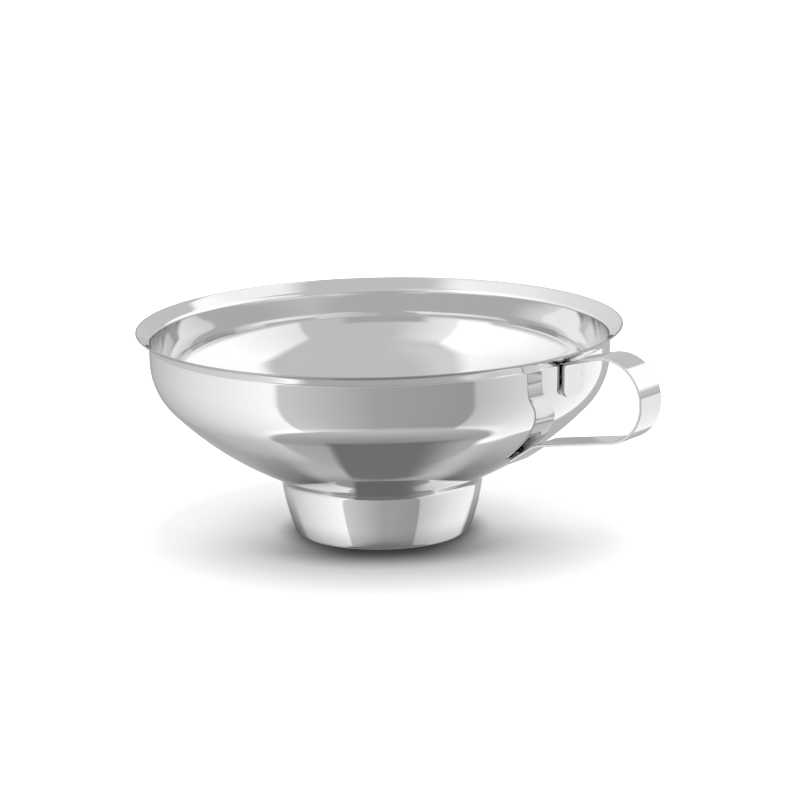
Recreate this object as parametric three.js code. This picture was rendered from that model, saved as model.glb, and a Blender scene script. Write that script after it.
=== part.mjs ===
// A stainless-steel canning funnel: a thin one-piece drawn bowl with a flared lip and a short tapered spout,
// and a loop handle bent from one flat strap and held to the bowl by four spot welds.
// Millimetres, +Z up. The foot of the spout stands on z = 0 and the handle points along +X. The origin is
// on the ground under the middle of the whole outline, halfway between the rim's far side and the handle.

import * as THREE from "three";
import { mergeVertices } from "three/addons/utils/BufferGeometryUtils.js";

// Body. Depths are measured down from the top of the rim, and radii to the outside of the sheet.
// A lean is the angle between the sheet and the funnel's axis: 0 is a straight tube, 90 is a flat plate.
const HEIGHT = 60.4;
const RIM_RADIUS = 70;
const SHEET = 0.6;
const LIP_LEAN = 51.5;
const LIP_BEND_RADIUS = 1.4;
const WALL_TOP_RADIUS = 66.3;
const WALL_LEAN = 1.6;
const SHOULDER_START_DEPTH = 9.1;
const SHOULDER_RADIUS = 19;
const SHOULDER_END_LEAN = 44;
const FLANK_RADIUS = 94;
const FLANK_END_LEAN = 62.8;
const NECK_DEPTH = 45.35;
const NECK_FILLET_RADIUS = 3.4;
const SPOUT_TOP_LEAN = 8;
const SPOUT_BULGE_RADIUS = 69;
const FOOT_CURL_RADIUS = 1.6;
const FOOT_LAND_WIDTH = 1;

// How finely the body's curves are drawn: the sides of the round, and the steps in each bend of the section.
const BODY_SIDES = 72;
const LIP_BEND_STEPS = 4;
const SHOULDER_STEPS = 6;
const FLANK_STEPS = 5;
const NECK_STEPS = 5;
const SPOUT_STEPS = 4;
const FOOT_CURL_STEPS = 4;
const EDGE_STEPS = 4;

// Handle strap, dimensioned as a flat blank: four flats with three bends between them.
const STRAP_WIDTH = 10.4;
const STRAP_THICKNESS = 0.8;
const STRAP_BOTTOM_DEPTH = 13;
const UPPER_TAB_LENGTH = 8.5;
const ROOT_BEND_RADIUS = 1.6;
const TOP_STRAND_RISE = 14.2;
const TOP_STRAND_LENGTH = 9.5;
const LOOP_RADIUS = 11.9;
const LOWER_STRAND_FALL = 8.7;
const LOWER_STRAND_LENGTH = 23.75;
const LOWER_BEND_RADIUS = 8;
const LOWER_TAB_FALL = 33.5;
const LOWER_TAB_LENGTH = 9.6;
const UPPER_TAB_CORNER = 2.6;
const LOWER_TAB_CORNER = 1.5;
const STRAP_GAP = 0.3;
const TAB_CORNER_STEPS = 3;
const ROOT_BEND_STEPS = 5;
const LOOP_STEPS = 18;
const LOWER_BEND_STEPS = 4;

// A depth at which the wall under the lip is still straight. The upper tab lies along it.
const STRAIGHT_WALL_DEPTH = 8;

// Spot welds: two under each tab, one on each side of the strap's middle line.
const WELD_RADIUS = 1.4;
const WELD_SIDES = 20;
const WELD_SPACING = 5.4;
const WELD_THICKNESS = 0.18;
const WELD_CLEARANCE = 0.02;
const UPPER_WELD_DEPTH = 7.2;
const LOWER_WELD_DEPTH = 32.5;

const radians = THREE.MathUtils.degToRad;
const sine = (degrees) => Math.sin(radians(degrees));
const cosine = (degrees) => Math.cos(radians(degrees));

// A centre line drawn by walking in the (x, z) plane. Every station keeps its place and its heading, in
// degrees from +X towards +Z.
class Walk {
  constructor(x, z, heading) {
    this.stations = [{ x, z, heading }];
  }

  get end() {
    return this.stations.at(-1);
  }

  line(length) {
    const { x, z, heading } = this.end;
    this.stations.push({ x: x + length * cosine(heading), z: z + length * sine(heading), heading });
    return this;
  }

  // Turns by an angle, positive to the left, on an arc of the given radius.
  bend(radius, turn, steps) {
    const { x, z, heading } = this.end;
    const side = Math.sign(turn) * radius;
    for (let step = 1; step <= steps; step++) {
      const now = heading + (turn * step) / steps;
      this.stations.push({
        x: x + side * (sine(now) - sine(heading)),
        z: z + side * (cosine(heading) - cosine(now)),
        heading: now,
      });
    }
    return this;
  }
}

// The point at a distance from a station, straight out to the left of its heading.
function leftOf({ x, z, heading }, distance) {
  return new THREE.Vector2(x - distance * sine(heading), z + distance * cosine(heading));
}

// The body's centre line, from the rim's cut edge down to the foot's cut edge.
function bodyCentreLine() {
  const half = SHEET / 2;
  const headingOf = (lean) => -90 - lean;
  const walk = new Walk(RIM_RADIUS - half, HEIGHT - half, headingOf(LIP_LEAN));
  const bendTo = (radius, lean, steps) => walk.bend(radius, headingOf(lean) - walk.end.heading, steps);
  const lineDownTo = (z, lean) => walk.line((walk.end.z - z) / cosine(lean));

  const lipBendReach = LIP_BEND_RADIUS * (cosine(WALL_LEAN) - cosine(LIP_LEAN));
  walk.line((RIM_RADIUS - WALL_TOP_RADIUS - lipBendReach) / sine(LIP_LEAN));
  bendTo(LIP_BEND_RADIUS, WALL_LEAN, LIP_BEND_STEPS);
  lineDownTo(HEIGHT - SHOULDER_START_DEPTH, WALL_LEAN);
  bendTo(SHOULDER_RADIUS - half, SHOULDER_END_LEAN, SHOULDER_STEPS);
  bendTo(FLANK_RADIUS - half, FLANK_END_LEAN, FLANK_STEPS);

  const neckHeight = HEIGHT - NECK_DEPTH;
  const neckBend = NECK_FILLET_RADIUS + half;
  lineDownTo(neckHeight + neckBend * (sine(FLANK_END_LEAN) - sine(SPOUT_TOP_LEAN)), FLANK_END_LEAN);
  bendTo(neckBend, SPOUT_TOP_LEAN, NECK_STEPS);

  // The spout's own curve ends where the foot's curl can just reach the ground.
  const bulge = SPOUT_BULGE_RADIUS - half;
  const curl = FOOT_CURL_RADIUS - half;
  const drop = neckHeight - half;
  const spoutEndSine = (drop + bulge * sine(SPOUT_TOP_LEAN) - curl) / (bulge - curl);
  bendTo(bulge, THREE.MathUtils.radToDeg(Math.asin(spoutEndSine)), SPOUT_STEPS);
  bendTo(curl, 90, FOOT_CURL_STEPS);
  walk.line(FOOT_LAND_WIDTH);
  return walk;
}

// Points between the two faces of a cut edge, round the end of the sheet, from the given side.
function roundedEdge(station, backwards) {
  const turn = backwards ? 180 : 0;
  const points = [];
  for (let step = 1; step < EDGE_STEPS; step++) {
    const heading = station.heading + turn - (180 * step) / EDGE_STEPS;
    points.push(leftOf({ ...station, heading }, SHEET / 2));
  }
  return points;
}

// The closed section of the body: down its outside, round the foot's edge, up its inside, round the rim.
function bodySection(walk) {
  const { stations } = walk;
  const outside = stations.map((station) => leftOf(station, SHEET / 2));
  const inside = stations.map((station) => leftOf(station, -SHEET / 2)).reverse();
  const section = [
    ...outside,
    ...roundedEdge(stations.at(-1), false),
    ...inside,
    ...roundedEdge(stations[0], true),
  ];
  return [...section, section[0]].reverse();
}

// Radius, lean and height of the body's outer face at a depth below the rim.
function outerFaceAt(walk, depth) {
  const outside = walk.stations.map((station) => leftOf(station, SHEET / 2));
  const z = HEIGHT - depth;
  const next = outside.findIndex((point) => point.y < z);
  const [above, below] = [outside[next - 1], outside[next]];
  const radius = THREE.MathUtils.mapLinear(z, above.y, below.y, above.x, below.x);
  const lean = THREE.MathUtils.radToDeg(Math.atan2(above.x - below.x, above.y - below.y));
  return { radius, lean, z };
}

function bodyGeometry(walk) {
  const geometry = new THREE.LatheGeometry(bodySection(walk), BODY_SIDES);
  return geometry.rotateX(Math.PI / 2);
}

// How far the strap's side is drawn in at each step along a rounded tab corner.
function cornerSteps(radius) {
  const steps = [];
  for (let step = 0; step <= TAB_CORNER_STEPS; step++) {
    const angle = (90 * step) / TAB_CORNER_STEPS;
    steps.push({ along: radius * (1 - cosine(angle)), inset: radius * (1 - sine(angle)) });
  }
  return steps;
}

// The strap's centre line, from the lower end of the upper tab, round the loop, to the tip of the lower tab.
function strapCentreLine(body) {
  const start = outerFaceAt(body, STRAIGHT_WALL_DEPTH);
  const drop = STRAP_BOTTOM_DEPTH - (HEIGHT - start.z);
  const offset = (STRAP_GAP + STRAP_THICKNESS / 2) / cosine(WALL_LEAN);
  const wall = start.radius - drop * Math.tan(radians(WALL_LEAN));
  const walk = new Walk(wall + offset, HEIGHT - STRAP_BOTTOM_DEPTH, 90 - WALL_LEAN);
  const turnTo = (radius, heading, steps) => walk.bend(radius, heading - walk.end.heading, steps);

  const upperCorner = cornerSteps(UPPER_TAB_CORNER);
  walk.end.inset = upperCorner[0].inset;
  for (let step = 1; step < upperCorner.length; step++) {
    walk.line(upperCorner[step].along - upperCorner[step - 1].along);
    walk.end.inset = upperCorner[step].inset;
  }
  walk.line(UPPER_TAB_LENGTH - UPPER_TAB_CORNER);
  turnTo(ROOT_BEND_RADIUS, TOP_STRAND_RISE, ROOT_BEND_STEPS);
  walk.line(TOP_STRAND_LENGTH);
  turnTo(LOOP_RADIUS, LOWER_STRAND_FALL - 180, LOOP_STEPS);
  walk.line(LOWER_STRAND_LENGTH);
  turnTo(LOWER_BEND_RADIUS, LOWER_TAB_FALL - 180, LOWER_BEND_STEPS);
  walk.line(LOWER_TAB_LENGTH - LOWER_TAB_CORNER);
  const lowerCorner = cornerSteps(LOWER_TAB_CORNER).reverse();
  for (let step = 1; step < lowerCorner.length; step++) {
    walk.line(lowerCorner[step - 1].along - lowerCorner[step].along);
    walk.end.inset = lowerCorner[step].inset;
  }
  return walk;
}

// A flat blank bent along the strap's centre line: each column of the blank moves to its own station.
function strapGeometry(body) {
  const { stations } = strapCentreLine(body);
  const columns = stations.length - 1;
  const geometry = new THREE.BoxGeometry(1, 1, 1, columns, 1, 1);
  geometry.deleteAttribute("normal");
  geometry.deleteAttribute("uv");
  const position = geometry.getAttribute("position");
  for (let index = 0; index < position.count; index++) {
    const station = stations[Math.round((position.getX(index) + 0.5) * columns)];
    const width = STRAP_WIDTH - 2 * (station.inset ?? 0);
    const face = leftOf(station, position.getZ(index) * STRAP_THICKNESS);
    position.setXYZ(index, face.x, position.getY(index) * width, face.y);
  }
  const bent = mergeVertices(geometry);
  bent.computeVertexNormals();
  return bent;
}

// A fused disc lying flat on the body's outer face, on one side (+1 or -1) of the strap's middle line.
function weldNugget(body, depth, side) {
  const geometry = new THREE.CylinderGeometry(WELD_RADIUS, WELD_RADIUS, WELD_THICKNESS, WELD_SIDES);
  const { radius, lean, z } = outerFaceAt(body, depth);
  const facet = (side * 180) / BODY_SIDES;
  const faceRadius = radius * cosine(facet);
  const y = (side * WELD_SPACING) / 2;
  const x = (faceRadius - y * sine(facet)) / cosine(facet);
  const outward = new THREE.Vector3(
    cosine(lean) * cosine(facet),
    cosine(lean) * sine(facet),
    -sine(lean),
  );
  const nugget = new THREE.Mesh(geometry, weldMaterial());
  nugget.quaternion.setFromUnitVectors(new THREE.Vector3(0, 1, 0), outward);
  nugget.position.set(x, y, z).addScaledVector(outward, WELD_CLEARANCE + WELD_THICKNESS / 2);
  return nugget;
}

function polishedSteel() {
  return new THREE.MeshStandardMaterial({ color: 0xc9cbcc, roughness: 0.08, metalness: 1 });
}

function strapSteel() {
  return new THREE.MeshStandardMaterial({ color: 0xc4c6c7, roughness: 0.14, metalness: 1 });
}

function weldMaterial() {
  return new THREE.MeshStandardMaterial({ color: 0x8d8f91, roughness: 0.4, metalness: 1 });
}

function named(name, mesh) {
  mesh.name = name;
  return mesh;
}

const body = bodyCentreLine();
const funnel = new THREE.Group();
funnel.add(
  named("funnel_body", new THREE.Mesh(bodyGeometry(body), polishedSteel())),
  named("strap_handle", new THREE.Mesh(strapGeometry(body), strapSteel())),
  named("upper_spot_weld_left", weldNugget(body, UPPER_WELD_DEPTH, 1)),
  named("upper_spot_weld_right", weldNugget(body, UPPER_WELD_DEPTH, -1)),
  named("lower_spot_weld_left", weldNugget(body, LOWER_WELD_DEPTH, 1)),
  named("lower_spot_weld_right", weldNugget(body, LOWER_WELD_DEPTH, -1)),
);

// The outline's middle goes over the origin.
const outline = new THREE.Box3().setFromObject(funnel);
funnel.position.x = -outline.getCenter(new THREE.Vector3()).x;

export default funnel;
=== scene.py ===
"""Looks of the canning funnel: a mirror-polished drawn steel funnel with a spot-welded strap handle.

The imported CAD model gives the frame. The funnel's sheet and the strap are rebuilt here as smooth thin sheets
with rounded cut edges, and a plain white studio with soft light is set round them. Sizes are in millimetres
where no comment says otherwise, and are turned into metres where they are given to Blender.
"""

import math

import bpy
from mathutils import Matrix, Vector


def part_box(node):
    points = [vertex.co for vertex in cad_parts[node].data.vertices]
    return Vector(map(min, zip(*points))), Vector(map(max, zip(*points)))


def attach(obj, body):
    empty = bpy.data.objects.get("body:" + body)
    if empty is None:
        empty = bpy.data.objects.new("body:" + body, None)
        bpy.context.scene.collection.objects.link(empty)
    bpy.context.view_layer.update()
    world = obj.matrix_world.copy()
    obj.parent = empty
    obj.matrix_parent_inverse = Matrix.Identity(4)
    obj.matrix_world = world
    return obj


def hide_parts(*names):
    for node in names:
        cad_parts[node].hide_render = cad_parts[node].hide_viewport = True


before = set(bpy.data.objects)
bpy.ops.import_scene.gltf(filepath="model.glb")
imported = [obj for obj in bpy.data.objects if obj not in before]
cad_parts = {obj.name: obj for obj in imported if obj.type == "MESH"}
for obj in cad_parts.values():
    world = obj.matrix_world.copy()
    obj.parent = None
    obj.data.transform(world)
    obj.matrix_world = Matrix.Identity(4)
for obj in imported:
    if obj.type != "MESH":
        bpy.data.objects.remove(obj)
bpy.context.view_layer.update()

MM = 0.001

# ---------------------------------------------------------------------------------------------------------
# Sizes, in millimetres. Places come from the CAD boxes; depths are measured down from the top of the rim.

body_low, body_high = (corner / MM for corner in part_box("funnel_body"))
strap_low, strap_high = (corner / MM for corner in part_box("strap_handle"))

AXIS_X = (body_low.x + body_high.x) / 2
HEIGHT = body_high.z
RIM_RADIUS = (body_high.x - body_low.x) / 2
SHEET = 0.6

LIP_LEAN = 51.5
LIP_BEND_RADIUS = 1.4
WALL_TOP_RADIUS = 66.3
WALL_LEAN = 1.6
SHOULDER_START_DEPTH = 9.1
SHOULDER_RADIUS = 19
SHOULDER_END_LEAN = 44
FLANK_RADIUS = 94
FLANK_END_LEAN = 62.8
NECK_DEPTH = 45.35
NECK_FILLET_RADIUS = 3.4
SPOUT_TOP_LEAN = 8
SPOUT_BULGE_RADIUS = 69
FOOT_CURL_RADIUS = 1.6
FOOT_LAND_WIDTH = 1

STRAP_WIDTH = strap_high.y - strap_low.y
STRAP_THICKNESS = 0.8
STRAP_EDGE_RADIUS = 0.16
STRAP_GAP = 0.3
STRAP_BOTTOM_DEPTH = 13.04
UPPER_TAB_LENGTH = 8.5
ROOT_BEND_RADIUS = 1.6
TOP_STRAND_RISE = 14.2
TOP_STRAND_LENGTH = 9.5
LOOP_RADIUS = 11.88
LOWER_STRAND_FALL = 8.7
LOWER_STRAND_LENGTH = 23.75
LOWER_BEND_RADIUS = 8
LOWER_TAB_FALL = 33.5
LOWER_TAB_LENGTH = 9.6
UPPER_TAB_CORNER = 2.6
LOWER_TAB_CORNER = 1.5

WELD_SPACING = 5.4
WELD_MARK_RADIUS = 1.3
WELD_MARK_DEPTH = 0.1
UPPER_WELD_ALONG = 5.6
LOWER_WELD_ALONG = 2.6

# How finely the meshes are divided.
BODY_SIDES = 288
LINE_STEP = 1.2
TAB_STEP = 0.25
ARC_STEP_DEGREES = 2.0
EDGE_STEPS = 10
STRAP_COLUMNS = 40
STRAP_CORNER_STEPS = 4

# Differences smaller than this are rounding.
TINY = 1e-6


# ---------------------------------------------------------------------------------------------------------
# Centre lines.

class Walk:
    """A centre line drawn by walking in the (x, z) plane: stations of (x, z, heading in degrees)."""

    def __init__(self, x, z, heading):
        self.stations = [(x, z, heading)]

    @property
    def end(self):
        return self.stations[-1]

    def line(self, length, step=LINE_STEP):
        """Straight on."""
        x, z, heading = self.end
        angle = math.radians(heading)
        count = max(1, math.ceil(length / step))
        for k in range(1, count + 1):
            far = length * k / count
            self.stations.append((x + far * math.cos(angle), z + far * math.sin(angle), heading))

    def bend_to(self, radius, heading_to):
        """Round an arc until the heading is heading_to."""
        x, z, heading = self.end
        turn = heading_to - heading
        side = math.copysign(radius, turn)
        count = max(2, math.ceil(abs(turn) / ARC_STEP_DEGREES))
        start = math.radians(heading)
        for k in range(1, count + 1):
            now = heading + turn * k / count
            angle = math.radians(now)
            across = side * (math.sin(angle) - math.sin(start))
            up = side * (math.cos(start) - math.cos(angle))
            self.stations.append((x + across, z + up, now))


def left_of(station, distance):
    """The point at a distance straight out to the left of a station's heading."""
    x, z, heading = station
    angle = math.radians(heading)
    return (x - distance * math.sin(angle), z + distance * math.cos(angle))


def sin(degrees):
    return math.sin(math.radians(degrees))


def cos(degrees):
    return math.cos(math.radians(degrees))


def body_centre_line():
    """From the rim's cut edge down to the foot's cut edge, x being the distance from the funnel's axis."""
    half = SHEET / 2
    walk = Walk(RIM_RADIUS - half, HEIGHT - half, -90 - LIP_LEAN)

    def bend(radius, lean):
        walk.bend_to(radius, -90 - lean)

    def line_down_to(z, lean):
        walk.line((walk.end[1] - z) / cos(lean))

    lip_bend_reach = LIP_BEND_RADIUS * (cos(WALL_LEAN) - cos(LIP_LEAN))
    walk.line((RIM_RADIUS - WALL_TOP_RADIUS - lip_bend_reach) / sin(LIP_LEAN))
    bend(LIP_BEND_RADIUS, WALL_LEAN)
    line_down_to(HEIGHT - SHOULDER_START_DEPTH, WALL_LEAN)
    bend(SHOULDER_RADIUS - half, SHOULDER_END_LEAN)
    bend(FLANK_RADIUS - half, FLANK_END_LEAN)
    neck_height = HEIGHT - NECK_DEPTH
    neck_bend = NECK_FILLET_RADIUS + half
    neck_bend_fall = neck_bend * (sin(FLANK_END_LEAN) - sin(SPOUT_TOP_LEAN))
    line_down_to(neck_height + neck_bend_fall, FLANK_END_LEAN)
    bend(neck_bend, SPOUT_TOP_LEAN)
    bulge = SPOUT_BULGE_RADIUS - half
    curl = FOOT_CURL_RADIUS - half
    spout_end_sine = (neck_height - half + bulge * sin(SPOUT_TOP_LEAN) - curl) / (bulge - curl)
    bend(bulge, math.degrees(math.asin(spout_end_sine)))
    bend(curl, 90)
    walk.line(FOOT_LAND_WIDTH)
    return walk


def wall_radius_at(depth):
    """Outside radius of the straight wall under the lip, at a depth below the rim."""
    on_wall = [z for x, z, heading in body_centre_line().stations if abs(heading + 90 + WALL_LEAN) < TINY]
    wall_top_depth = HEIGHT - on_wall[0]
    return WALL_TOP_RADIUS - (depth - wall_top_depth) * math.tan(math.radians(WALL_LEAN))


def strap_centre_line():
    """From the lower end of the upper tab, round the loop, to the tip of the lower tab."""
    offset = (STRAP_GAP + STRAP_THICKNESS / 2) / cos(WALL_LEAN)
    x = AXIS_X + wall_radius_at(STRAP_BOTTOM_DEPTH) + offset
    walk = Walk(x, HEIGHT - STRAP_BOTTOM_DEPTH, 90 - WALL_LEAN)
    walk.line(UPPER_TAB_LENGTH, TAB_STEP)
    walk.bend_to(ROOT_BEND_RADIUS, TOP_STRAND_RISE)
    walk.line(TOP_STRAND_LENGTH)
    walk.bend_to(LOOP_RADIUS, LOWER_STRAND_FALL - 180)
    walk.line(LOWER_STRAND_LENGTH)
    walk.bend_to(LOWER_BEND_RADIUS, LOWER_TAB_FALL - 180)
    walk.line(LOWER_TAB_LENGTH, TAB_STEP)
    return walk


# ---------------------------------------------------------------------------------------------------------
# Meshes.

def new_object(name, vertices, faces):
    mesh = bpy.data.meshes.new(name)
    mesh.from_pydata([(x * MM, y * MM, z * MM) for x, y, z in vertices], [], faces)
    mesh.validate()
    mesh.polygons.foreach_set("use_smooth", [True] * len(mesh.polygons))
    obj = bpy.data.objects.new(name, mesh)
    bpy.context.scene.collection.objects.link(obj)
    return obj


def rounded_edge(station, turn):
    """Points round a cut end of the sheet, from the left face to the right (turn 0) or back (turn 180)."""
    x, z, heading = station
    headings = [heading + turn - 180 * k / EDGE_STEPS for k in range(1, EDGE_STEPS)]
    return [left_of((x, z, now), SHEET / 2) for now in headings]


def body_section():
    """The sheet's closed section: down the outside, round the foot's edge, up the inside, round the rim's."""
    stations = body_centre_line().stations
    outside = [left_of(station, SHEET / 2) for station in stations]
    inside = [left_of(station, -SHEET / 2) for station in reversed(stations)]
    return outside + rounded_edge(stations[-1], 0) + inside + rounded_edge(stations[0], 180)


def make_body():
    section = body_section()
    count = len(section)
    vertices = []
    for side in range(BODY_SIDES):
        angle = 2 * math.pi * side / BODY_SIDES
        for radius, z in section:
            vertices.append((AXIS_X + radius * math.cos(angle), radius * math.sin(angle), max(z, 0.0)))
    faces = []
    for side in range(BODY_SIDES):
        here, there = side * count, (side + 1) % BODY_SIDES * count
        for k in range(count):
            following = (k + 1) % count
            faces.append((here + k, here + following, there + following, there + k))
    body = new_object("polished_funnel_body", vertices, faces)
    face_length = len(body_centre_line().stations)
    foot_edge = range(face_length - 1, count - face_length - EDGE_STEPS + 1)
    rim_edge = range(count - EDGE_STEPS, count)
    sheared = [int(k in foot_edge or k in rim_edge) for k in range(count)]
    body.data.polygons.foreach_set("material_index", sheared * BODY_SIDES)
    return body


def strap_outline():
    """The strap's cross-section as (across, left of the walk): a thin rectangle with rounded edges."""
    half_thickness = STRAP_THICKNESS / 2
    flat = STRAP_WIDTH / 2 - STRAP_EDGE_RADIUS
    rise = half_thickness - STRAP_EDGE_RADIUS
    points = []

    def face(start, out):
        for k in range(1, STRAP_COLUMNS):
            points.append((start - 2 * start * k / STRAP_COLUMNS, out))

    def corner(across, out, start):
        for k in range(STRAP_CORNER_STEPS + 1):
            turned = start + 90 * k / STRAP_CORNER_STEPS
            points.append((across + STRAP_EDGE_RADIUS * cos(turned), out + STRAP_EDGE_RADIUS * sin(turned)))

    face(-flat, -half_thickness)
    corner(flat, -rise, -90)
    corner(flat, rise, 0)
    face(flat, half_thickness)
    corner(-flat, rise, 90)
    corner(-flat, -rise, 180)
    return points


def corner_inset(along, radius):
    """How far the strap's side is drawn in at a distance from its end, on a rounded tab corner."""
    if along >= radius:
        return 0.0
    return radius - math.sqrt(max(0.0, radius**2 - (radius - along) ** 2))


def weld_mark(across, along, centre):
    """How deep the electrode's mark is at a point of a tab: a shallow dish with a soft rim."""
    distance = math.hypot(abs(across) - WELD_SPACING / 2, along - centre)
    if distance >= WELD_MARK_RADIUS:
        return 0.0
    return WELD_MARK_DEPTH * (1 + cos(180 * (distance / WELD_MARK_RADIUS) ** 3)) / 2


def make_strap():
    stations = strap_centre_line().stations
    outline = strap_outline()
    lengths = [0.0]
    for (x0, z0, _), (x1, z1, _) in zip(stations, stations[1:]):
        lengths.append(lengths[-1] + math.hypot(x1 - x0, z1 - z0))
    total = lengths[-1]
    vertices = []
    for station, along in zip(stations, lengths):
        inset = max(corner_inset(along, UPPER_TAB_CORNER), corner_inset(total - along, LOWER_TAB_CORNER))
        narrow = 1 - inset / (STRAP_WIDTH / 2)
        for across, out in outline:
            y = across * narrow
            dent = 0.0
            # The outer face, away from the bowl, is the right-hand side of the walk.
            if out < 0 and abs(across) < STRAP_WIDTH / 2 - 2 * STRAP_EDGE_RADIUS:
                dent = weld_mark(y, along, UPPER_WELD_ALONG) + weld_mark(y, total - along, LOWER_WELD_ALONG)
            x, z = left_of(station, out + dent)
            vertices.append((x, y, z))
    count = len(outline)
    faces = []
    for row in range(len(stations) - 1):
        here, there = row * count, (row + 1) * count
        for k in range(count):
            following = (k + 1) % count
            faces.append((here + k, there + k, there + following, here + following))
    last = (len(stations) - 1) * count
    faces.append(tuple(range(count)))
    faces.append(tuple(last + k for k in reversed(range(count))))
    strap = new_object("polished_strap_handle", vertices, faces)
    flat = STRAP_WIDTH / 2 - STRAP_EDGE_RADIUS
    on_edge = [abs(across) > flat - TINY for across, out in outline]
    sheared = [int(on_edge[k] and on_edge[(k + 1) % count]) for k in range(count)]
    strap.data.polygons.foreach_set("material_index", sheared * (len(stations) - 1) + [1, 1])
    return strap


# ---------------------------------------------------------------------------------------------------------
# Shader nodes.

class Shader:
    """Adds nodes to one shader tree. Each method gives back the socket that carries its result."""

    def __init__(self, tree):
        self.tree = tree

    def node(self, kind, inputs=None, **settings):
        made = self.tree.nodes.new(kind)
        for name, value in settings.items():
            setattr(made, name, value)
        for name, value in (inputs or {}).items():
            self.feed(made.inputs[name], value)
        return made

    def feed(self, socket, value):
        if isinstance(value, bpy.types.NodeSocket):
            self.tree.links.new(value, socket)
        else:
            socket.default_value = value

    def math(self, operation, *values):
        made = self.node("ShaderNodeMath", operation=operation)
        for socket, value in zip(made.inputs, values):
            self.feed(socket, value)
        return made.outputs[0]

    def add(self, *values):
        total = values[0]
        for value in values[1:]:
            total = self.math("ADD", total, value)
        return total

    def times(self, *values):
        product = values[0]
        for value in values[1:]:
            product = self.math("MULTIPLY", product, value)
        return product

    def less(self, a, b):
        return self.math("SUBTRACT", a, b)

    def ramp(self, value, low, high, to_low=0.0, to_high=1.0, smooth=True):
        """Goes from to_low to to_high while value goes from low to high, and stays flat outside."""
        made = self.node(
            "ShaderNodeMapRange",
            {"Value": value, "From Min": low, "From Max": high, "To Min": to_low, "To Max": to_high},
            interpolation_type="SMOOTHSTEP" if smooth else "LINEAR",
        )
        return made.outputs["Result"]

    def between(self, value, low, high, edge):
        """1 from low to high with soft edges as wide as edge, and 0 outside."""
        half = edge / 2
        rising = self.ramp(value, low - half, low + half)
        falling = self.ramp(value, high - half, high + half, 1.0, 0.0)
        return self.times(rising, falling)

    def mix(self, share, a, b):
        """a where share is 0, b where it is 1."""
        return self.add(self.times(a, self.less(1.0, share)), self.times(b, share))

    def split(self, vector):
        return self.node("ShaderNodeSeparateXYZ", {"Vector": vector}).outputs

    def vector(self, x, y, z):
        return self.node("ShaderNodeCombineXYZ", {"X": x, "Y": y, "Z": z}).outputs[0]

    def dot(self, vector, fixed):
        made = self.node("ShaderNodeVectorMath", {0: vector, 1: fixed}, operation="DOT_PRODUCT")
        return made.outputs["Value"]

    def noise(self, vector, scale, detail, roughness=0.5):
        made = self.node(
            "ShaderNodeTexNoise", {"Vector": vector, "Scale": scale, "Detail": detail, "Roughness": roughness}
        )
        return made.outputs["Fac"]

    def colour(self, red, green, blue):
        return self.node("ShaderNodeCombineColor", {"Red": red, "Green": green, "Blue": blue}).outputs[0]

    def grey(self, value):
        return self.colour(value, value, value)


def new_material(name):
    material = bpy.data.materials.new(name)
    material.use_nodes = True
    material.node_tree.nodes.clear()
    return material, Shader(material.node_tree)


# ---------------------------------------------------------------------------------------------------------
# Materials.

STEEL_TINT = 0.78
RIM_EDGE_TINT = 0.42
STRAP_EDGE_TINT = 0.68
WELD_TINT = 0.38
# How bright the steel is to the floor: little, so that the funnel keeps its shade under it.
TINT_SEEN_BY_FLOOR = 0.2
SHEET_ROUGHNESS = 0.05
STRAP_ROUGHNESS = 0.08
SHEARED_ROUGHNESS = 0.2
WELD_ROUGHNESS = 0.35
# How far the bump of each finish rises, in metres.
POLISH_BUMP = 0.00004
WELD_BUMP = 0.00005
# How strongly it shows, from 0 to 1.
POLISH_BUMP_STRENGTH = 0.12
SHEARED_BUMP_STRENGTH = 0.3
WELD_BUMP_STRENGTH = 0.5
# Scales of the noise in the finishes, in features to the metre.
SMUDGES = 38
WAVES = 22
LINES_ROUND_AXIS = (1.6 / MM, 1600)
LINES_ALONG_STRAP = (60, 2600, 60)
SHEAR_MARKS = 1400
STAINS = 60
WELD_MOTTLE = 900
WELD_HEAT = 300


def funnel_radius(s, place):
    """Distance from the funnel's axis, in millimetres."""
    x, y, _ = s.split(place)
    dx = s.less(x, AXIS_X * MM)
    return s.times(s.math("SQRT", s.add(s.times(dx, dx), s.times(y, y))), 1 / MM)


def metal(s, tint, roughness, height, strength):
    """Finishes a material as bare steel of this brightness, with a bump."""
    bump = s.node("ShaderNodeBump", {"Strength": strength, "Distance": POLISH_BUMP, "Height": height})
    to_floor = s.node("ShaderNodeLightPath").outputs["Is Diffuse Ray"]
    shown = s.mix(to_floor, tint, TINT_SEEN_BY_FLOOR)
    shader = s.node(
        "ShaderNodeBsdfPrincipled",
        {"Base Color": s.grey(shown), "Metallic": 1.0, "Roughness": roughness, "Normal": bump.outputs[0]},
    )
    s.node("ShaderNodeOutputMaterial", {"Surface": shader.outputs[0]})


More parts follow.
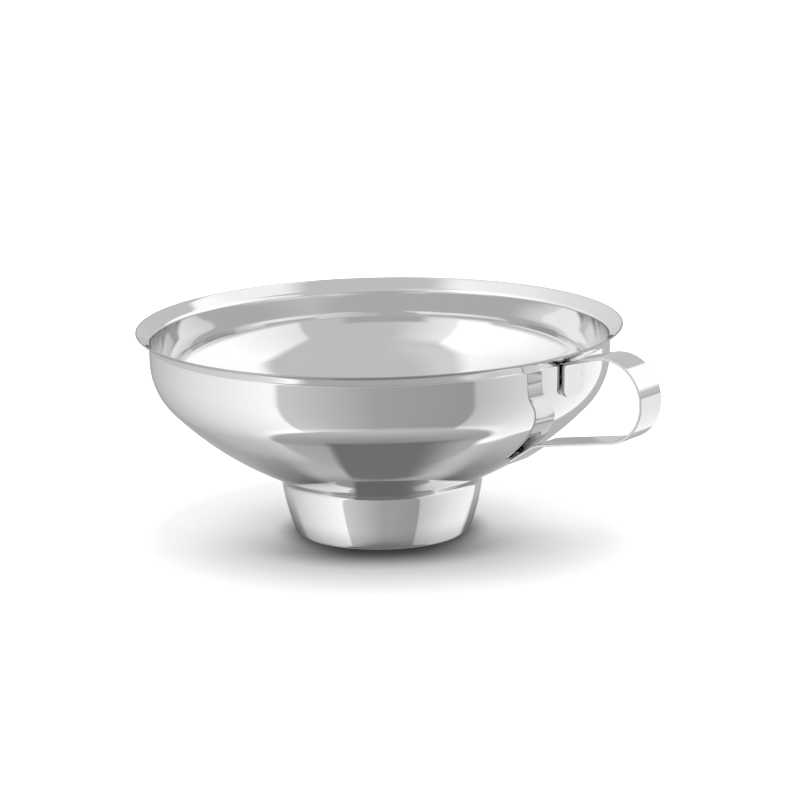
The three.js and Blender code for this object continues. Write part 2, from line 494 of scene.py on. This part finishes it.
def polished_steel(name, roughness, grain_direction):
    """Mirror-polished stainless sheet: fine polishing lines, faint smudges and a slight waviness."""
    material, s = new_material(name)
    place = s.node("ShaderNodeTexCoord").outputs["Object"]
    x, y, z = s.split(place)
    if grain_direction == "round the axis":
        outwards, upwards = LINES_ROUND_AXIS
        radius = s.times(funnel_radius(s, place), MM)
        lines = s.vector(s.times(radius, outwards), 0.0, s.times(z, upwards))
    else:
        lines = s.vector(*(s.times(way, scale) for way, scale in zip((x, y, z), LINES_ALONG_STRAP)))
    grain = s.noise(lines, 1.0, 3.0)
    smudge = s.noise(place, SMUDGES, 4.0, 0.6)
    wave = s.noise(place, WAVES, 1.0)
    # Noise lies round a half, so half of each share is taken off first.
    tint = s.add(STEEL_TINT - 0.02, s.times(smudge, 0.03), s.times(grain, 0.01))
    rough = s.add(roughness - 0.02, s.times(smudge, 0.03), s.times(grain, 0.012))
    metal(s, tint, rough, s.add(s.times(grain, 0.06), wave), POLISH_BUMP_STRENGTH)
    return material


def sheared_steel(name, brightness):
    """The sheet's cut edges: duller, finely roughened by the shear and a little stained."""
    material, s = new_material(name)
    place = s.node("ShaderNodeTexCoord").outputs["Object"]
    marks = s.noise(place, SHEAR_MARKS, 3.0)
    stain = s.noise(place, STAINS, 2.0)
    tint = s.add(brightness - 0.1, s.times(marks, 0.1), s.times(stain, 0.1))
    metal(s, tint, s.add(SHEARED_ROUGHNESS, s.times(marks, 0.1)), marks, SHEARED_BUMP_STRENGTH)
    return material


def welded_steel(name):
    """A spot weld: dull, mottled and a little browned by the heat."""
    material, s = new_material(name)
    place = s.node("ShaderNodeTexCoord").outputs["Object"]
    mottle = s.noise(place, WELD_MOTTLE, 4.0, 0.6)
    heat = s.noise(place, WELD_HEAT, 2.0)
    red = s.add(WELD_TINT, s.times(heat, 0.16))
    green = s.add(WELD_TINT, s.times(heat, 0.08))
    blue = s.add(WELD_TINT, s.times(mottle, -0.06))
    bump = s.node(
        "ShaderNodeBump", {"Strength": WELD_BUMP_STRENGTH, "Distance": WELD_BUMP, "Height": mottle}
    )
    shader = s.node(
        "ShaderNodeBsdfPrincipled",
        {
            "Base Color": s.colour(red, green, blue),
            "Metallic": 1.0,
            "Roughness": s.add(WELD_ROUGHNESS, s.times(mottle, 0.2)),
            "Normal": bump.outputs[0],
        },
    )
    s.node("ShaderNodeOutputMaterial", {"Surface": shader.outputs[0]})
    return material


# ---------------------------------------------------------------------------------------------------------
# Studio.

CAMERA_AZIMUTH = 36.5
CAMERA_ELEVATION = 11.84
CAMERA_ROLL = 1.2
CAMERA_DISTANCE_MM = 1200
VIEW_WIDTH_MM = 229.8
SENSOR_WIDTH = 36
# The nearest and the farthest that the camera sees, in metres.
CLIP_START = 0.01
CLIP_END = 100
# Where the rim's centre stands in the picture, from its middle, in millimetres at the rim's distance.
RIM_LEFT_MM = 6.0
RIM_UP_MM = 21.7

TOWARD_CAMERA = (sin(CAMERA_AZIMUTH), -cos(CAMERA_AZIMUTH), 0)
CAMERA_RIGHT = (cos(CAMERA_AZIMUTH), sin(CAMERA_AZIMUTH), 0)


def make_camera():
    data = bpy.data.cameras.new("camera")
    data.sensor_width = SENSOR_WIDTH
    data.lens = data.sensor_width * CAMERA_DISTANCE_MM / VIEW_WIDTH_MM
    camera = bpy.data.objects.new("camera", data)
    bpy.context.scene.collection.objects.link(camera)
    level, up = cos(CAMERA_ELEVATION), sin(CAMERA_ELEVATION)
    back = Vector((TOWARD_CAMERA[0] * level, TOWARD_CAMERA[1] * level, up))
    roll = Matrix.Rotation(-math.radians(CAMERA_ROLL), 4, "Z").to_quaternion()
    turned = (-back).to_track_quat("-Z", "Y") @ roll
    picture_right, picture_up = turned @ Vector((1, 0, 0)), turned @ Vector((0, 1, 0))
    rim = Vector((AXIS_X, 0, HEIGHT)) * MM
    target = rim + (picture_right * RIM_LEFT_MM - picture_up * RIM_UP_MM) * MM
    camera.location = rim + back * CAMERA_DISTANCE_MM * MM
    camera.rotation_mode = "QUATERNION"
    camera.rotation_quaternion = (target - camera.location).to_track_quat("-Z", "Y") @ roll
    data.clip_start, data.clip_end = CLIP_START, CLIP_END
    bpy.context.scene.camera = camera


class Card:
    """A soft light or a reflector standing round the object.

    Azimuths are in degrees from the camera's side, growing to the picture's right. Elevations are the card's
    bottom and top edges at the azimuth it faces from. Glow is given at the first azimuth, halfway and at the
    last one. A card with spread widens by that share of its distance from the horizon.
    """

    def __init__(self, azimuths, elevations, glow, faces=None, edge=3.0, level_edge=3.0, spread=0.0):
        self.azimuths = azimuths
        self.elevations = elevations
        self.glow = glow
        self.faces = faces
        self.edge = edge
        self.level_edge = level_edge
        self.spread = spread


# The ceiling's and the cards' light is multiplied by this, which makes up for what the steel swallows.
STUDIO_LEVEL = 1.18
CEILING = 0.55
UNDER = 0.36
UNDER_NADIR = 0.27
# Elevations between which the light changes, at the horizon and straight below.
HORIZON = (-2, 2)
BELOW = (-90, -60)
# Keeps a division away from zero.
LEAST_DIVISOR = 0.01

CARDS = (
    # The room on the left, and light spilling over and beside the left softbox.
    Card((-181, -117), (-2, 50), (0.60, 0.74, 0.90), edge=10, level_edge=14),
    Card((-95, -8), (40, 74), (0.68, 0.66, 0.56), edge=10, level_edge=10),
    Card((-60, -8), (4, 50), (1.05, 0.84, 0.56), edge=6, level_edge=14),
    # The two tall softboxes with a high one beyond each.
    Card((-160, -98), (44, 74), (0.66, 0.88, 1.05), edge=8, level_edge=10),
    Card((106, 145), (44, 70), (0.90, 0.96, 0.96), edge=8, level_edge=8),
    Card((-117, -42), (12, 64), (0.88, 1.1, 1.1), faces=-95, level_edge=7),
    Card((42, 140), (10, 54), (0.82, 1.1, 1.05), faces=100, level_edge=7),
    # The grey space in front, under the camera.
    Card((-24, 18), (-2, 15), (0.40, 0.40, 0.40), edge=8, level_edge=4),
    # Painted reflection of the table: its far, left and right parts, lit by the softboxes, and the grey part
    # in front.
    Card((-181, -147), (-60, -2), (0.50, 0.40, 0.38)),
    Card((-147, -45), (-60, -2), (0.44, 0.78, 1.06), edge=8),
    Card((38, 133), (-60, -2), (0.50, 0.82, 1.0)),
    Card((133, 181), (-60, -2), (0.50, 0.42, 0.60)),
    Card((-43, 39), (-60, -2), (0.61, 0.375, 0.33), spread=0.14),
)


def card_light(s, beneath, card, azimuth, elevation):
    """The light with this card laid over what was there before."""
    first, last = card.azimuths
    middle = (first + last) / 2
    half = card.edge / 2
    widening = s.times(s.math("ABSOLUTE", elevation), card.spread)
    across = s.times(
        s.ramp(s.add(azimuth, widening), first - half, first + half),
        s.ramp(s.less(azimuth, widening), last - half, last + half, 1.0, 0.0),
    )
    height = elevation
    if card.faces is not None:
        # The level edges of an upright card sink towards the horizon away from where it faces.
        off = s.times(s.less(azimuth, card.faces), math.radians(1))
        squareness = s.math("MAXIMUM", s.math("COSINE", off), LEAST_DIVISOR)
        rise = s.math("DIVIDE", s.math("TANGENT", s.times(elevation, math.radians(1))), squareness)
        height = s.times(s.math("ARCTANGENT", rise), math.degrees(1))
    tall = s.between(height, *card.elevations, card.level_edge)
    glow = s.add(
        s.ramp(azimuth, first, middle, card.glow[0], card.glow[1], smooth=False),
        s.ramp(azimuth, middle, last, 0.0, card.glow[2] - card.glow[1], smooth=False),
    )
    return s.mix(s.times(across, tall), beneath, glow)


def azimuth_of(s, toward, right):
    """The azimuth, in degrees, of a direction given by its shares towards the camera and to the right."""
    return s.times(s.math("ARCTAN2", right, toward), math.degrees(1))


def studio_light(s, toward, right, up):
    """What the steel sees in a direction given by its shares towards the camera, to the right and up."""
    azimuth = azimuth_of(s, toward, right)
    elevation = s.times(s.math("ARCSINE", up), math.degrees(1))
    light = s.mix(s.ramp(elevation, *HORIZON), s.ramp(elevation, *BELOW, UNDER_NADIR, UNDER), CEILING)
    for card in CARDS:
        light = card_light(s, light, card, azimuth, elevation)
    return s.times(light, STUDIO_LEVEL)


# The sky that lights the table: its level at the horizon and straight above.
SKY_LOW = 0.92
SKY_HIGH = 3.4


def make_world():
    """White to the camera, a soft overhead sky to the floor, and the cards' pattern to the steel."""
    world = bpy.data.worlds.new("studio")
    bpy.context.scene.world = world
    world.use_nodes = True
    world.node_tree.nodes.clear()
    s = Shader(world.node_tree)
    direction = s.node("ShaderNodeTexCoord").outputs["Generated"]
    up = s.split(direction)["Z"]
    light = studio_light(s, s.dot(direction, TOWARD_CAMERA), s.dot(direction, CAMERA_RIGHT), up)
    path = s.node("ShaderNodeLightPath").outputs
    light = s.mix(path["Is Diffuse Ray"], light, s.ramp(up, 0.0, 1.0, SKY_LOW, SKY_HIGH, smooth=False))
    light = s.mix(path["Is Camera Ray"], light, 1.0)
    shown = s.node("ShaderNodeBackground", {"Color": s.grey(light), "Strength": 1.0})
    s.node("ShaderNodeOutputWorld", {"Surface": shown.outputs[0]})


# Metres from the middle to the floor's sides, and from the funnel's axis to the cards.
FLOOR_REACH = 3.0
CARD_DISTANCE = 0.25
FLOOR_PALENESS = 0.66
FLOOR_SPECKLE = 0.02
SPECKLES = 90
# Painted shade in the table's glow: dimmed close to the foot, unless the steel looks steeply down.
FOOT_SHADE_MM = (20, 34)
FOOT_SHADE = 0.4
STEEP = (0.80, 0.88)
# A painted dark patch in front of the foot, which the steel sees from steeply above. It ends sharply on the
# left.
PATCH_REACH_MM = (60, 65)
PATCH_LEFT_AZIMUTH = (-27, -21)
PATCH_RIGHT_AZIMUTH = (16, 42)
PATCH_STEEPNESS = (0.77, 0.82)
PATCH_LIGHT = 0.198
# Painted light and shade in the glow: seen from steeply above, the table brightens away from the foot. Seen
# backwards, it darkens towards it.
OPEN_MM = (60, 95)
OPEN_LIFT = 1.5
BACKWARDS = (-0.8, -0.6)
UNDER_BOWL_MM = (26, 56)
UNDER_BOWL_SHADE = 0.5
BESIDE_PATCH_AZIMUTH = (44, 66)
BESIDE_PATCH_LIGHT = 1.15
# Painted shade in the table's colour: a dark line along the foot, wider in front, and a lift at the sides.
CONTACT_MM = (21, 33)
CONTACT_SHADE = 0.2
FRONT_CONTACT_MM = (26, 48)
FRONT_CONTACT_SHADE = (0.14, 0.98)
FRONT_AZIMUTH = (15, 80)
SIDE_AZIMUTH = (45, 105)
SIDE_LIFT_MM = (34, 64)
SIDE_LIFT = (0.50, 0.05)
# Painted light on the handle's side, which lightens the shade the handle casts on the table.
HANDLE_AZIMUTH = (50, 100)
HANDLE_LIFT_MM = (40, 110)
HANDLE_LIFT = 0.12
# Inside the spout the table's painted shade is even.
INSIDE_SPOUT_MM = (20, 23)


def seen_from_axis(s, place):
    """How far a place lies from the funnel's axis towards the camera and to the right, in metres."""
    axis = Vector((AXIS_X * MM, 0, 0))
    toward = s.less(s.dot(place, TOWARD_CAMERA), axis.dot(TOWARD_CAMERA))
    right = s.less(s.dot(place, CAMERA_RIGHT), axis.dot(CAMERA_RIGHT))
    return toward, right


def cards_over_table(s, place, back):
    """The cards' light that a ray coming from the steel meets where it crosses the table."""
    toward = s.times(s.dot(back, TOWARD_CAMERA), -1)
    right = s.times(s.dot(back, CAMERA_RIGHT), -1)
    down = s.times(s.split(back)["Z"], -1)
    length = s.math("SQRT", s.add(s.times(toward, toward), s.times(right, right)))
    level = s.math("MAXIMUM", length, LEAST_DIVISOR)
    ahead, aside = s.math("DIVIDE", toward, level), s.math("DIVIDE", right, level)
    # The cards stand close, so where the ray crosses the table shifts them sideways.
    from_axis_toward, from_axis_right = seen_from_axis(s, place)
    offset = s.less(s.times(from_axis_right, ahead), s.times(from_axis_toward, aside))
    shift = s.times(offset, 1 / CARD_DISTANCE)
    card_toward = s.less(ahead, s.times(aside, shift))
    card_right = s.add(aside, s.times(ahead, shift))
    return studio_light(s, card_toward, card_right, down), ahead


def painted_table_reflection(s, place):
    """The table's glow for the steel's rays, a painted reflection: the cards, painted shade at the foot and a
    painted dark patch in front.
    """
    back = s.node("ShaderNodeNewGeometry").outputs["Incoming"]
    light, ahead = cards_over_table(s, place, back)
    radius = funnel_radius(s, place)
    place_azimuth = azimuth_of(s, *seen_from_axis(s, place))
    upright = s.split(back)["Z"]
    steep = s.ramp(upright, *STEEP)
    # Painted shade in the glow close to the foot.
    near_foot = s.ramp(radius, *FOOT_SHADE_MM, FOOT_SHADE, 1.0)
    # Painted light away from the foot seen steeply; painted shade under the bowl for rays going backwards,
    # lighter beside the patch.
    open_lift = s.ramp(radius, *OPEN_MM, 1.0, OPEN_LIFT)
    under_bowl = s.mix(
        s.ramp(s.math("ABSOLUTE", place_azimuth), *BESIDE_PATCH_AZIMUTH),
        BESIDE_PATCH_LIGHT,
        s.ramp(radius, *UNDER_BOWL_MM, UNDER_BOWL_SHADE, 1.0),
    )
    light = s.times(
        light,
        s.mix(steep, near_foot, 1.0),
        s.mix(s.ramp(ahead, *BACKWARDS, 1.0, 0.0), 1.0, under_bowl),
        s.mix(steep, 1.0, open_lift),
    )
    # A painted dark patch in front of the foot, standing in for shade.
    patch = s.times(
        s.ramp(radius, *PATCH_REACH_MM, 1.0, 0.0),
        s.ramp(place_azimuth, *PATCH_LEFT_AZIMUTH),
        s.ramp(place_azimuth, *PATCH_RIGHT_AZIMUTH, 1.0, 0.0),
        s.ramp(upright, *PATCH_STEEPNESS),
    )
    return s.mix(patch, light, PATCH_LIGHT)


def pale_table_with_painted_shade(s, place):
    """The table's colour: pale, with painted shade, dark along the foot and lifted at the sides."""
    radius = funnel_radius(s, place)
    place_azimuth = azimuth_of(s, *seen_from_axis(s, place))
    aside_of_front = s.math("ABSOLUTE", place_azimuth)
    # Painted shade along the foot, deeper in front, and painted light at the sides.
    contact = s.mix(
        s.ramp(aside_of_front, *FRONT_AZIMUTH),
        s.ramp(radius, *FRONT_CONTACT_MM, *FRONT_CONTACT_SHADE),
        s.ramp(radius, *CONTACT_MM, CONTACT_SHADE, 1.0),
    )
    # Painted light that lightens the handle's shade on the table.
    handle_lift = s.times(
        s.ramp(place_azimuth, *HANDLE_AZIMUTH), s.ramp(radius, *HANDLE_LIFT_MM, HANDLE_LIFT, 0.0)
    )
    side_lift = s.add(s.ramp(radius, *SIDE_LIFT_MM, *SIDE_LIFT, smooth=False), handle_lift)
    lift = s.add(1.0, s.times(s.ramp(aside_of_front, *SIDE_AZIMUTH), side_lift))
    shade = s.mix(s.ramp(radius, *INSIDE_SPOUT_MM), CONTACT_SHADE, s.times(contact, lift))
    speckle = s.times(s.less(s.noise(place, SPECKLES, 3.0), 0.5), FLOOR_SPECKLE)
    return s.times(s.add(FLOOR_PALENESS, speckle), shade)


def make_floor():
    """A pale table. To the steel's rays it glows instead, with a painted reflection of the cards standing
    round it and painted shade near the foot.
    """
    reach = FLOOR_REACH / MM
    corners = [(-reach, -reach, 0), (reach, -reach, 0), (reach, reach, 0), (-reach, reach, 0)]
    floor = new_object("floor", corners, [(0, 1, 2, 3)])
    material, s = new_material("pale_floor")
    place = s.node("ShaderNodeTexCoord").outputs["Object"]
    # The floor glows for the steel's rays: a painted reflection of the cards with painted shade, not light
    # falling on it.
    painted_reflection_glow = s.node("ShaderNodeEmission", {"Color": s.grey(painted_table_reflection(s, place)), "Strength": 1.0})
    matte = s.node("ShaderNodeBsdfDiffuse", {"Color": s.grey(pale_table_with_painted_shade(s, place))})
    seen_by_steel = s.node("ShaderNodeLightPath").outputs["Is Glossy Ray"]
    chosen = s.node(
        "ShaderNodeMixShader", {0: seen_by_steel, 1: matte.outputs[0], 2: painted_reflection_glow.outputs[0]}
    )
    s.node("ShaderNodeOutputMaterial", {"Surface": chosen.outputs[0]})
    floor.data.materials.append(material)


# ---------------------------------------------------------------------------------------------------------
# The scene.

# A ray between the two mirrors of strap and bowl meets steel many times before it gets out.
MIRROR_BOUNCES = 20

body = make_body()
strap = make_strap()
body.data.materials.append(polished_steel("drawn_steel", SHEET_ROUGHNESS, "round the axis"))
strap.data.materials.append(polished_steel("strap_steel", STRAP_ROUGHNESS, "along the strap"))
body.data.materials.append(sheared_steel("rim_edge_steel", RIM_EDGE_TINT))
strap.data.materials.append(sheared_steel("strap_edge_steel", STRAP_EDGE_TINT))
for piece, node, slot in ((body, "funnel_body", "drawn_sheet"), (strap, "strap_handle", "strap")):
    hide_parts(node)
    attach(piece, "root")

weld_steel = welded_steel("weld_steel")
for tab in ("upper", "lower"):
    for side in ("left", "right"):
        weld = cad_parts[f"{tab}_spot_weld_{side}"]
        weld.data.materials.clear()
        weld.data.materials.append(weld_steel)

make_camera()
make_floor()
make_world()
bpy.context.scene.view_settings.view_transform = "Standard"
bpy.context.scene.cycles.max_bounces = MIRROR_BOUNCES
bpy.context.scene.cycles.glossy_bounces = MIRROR_BOUNCES
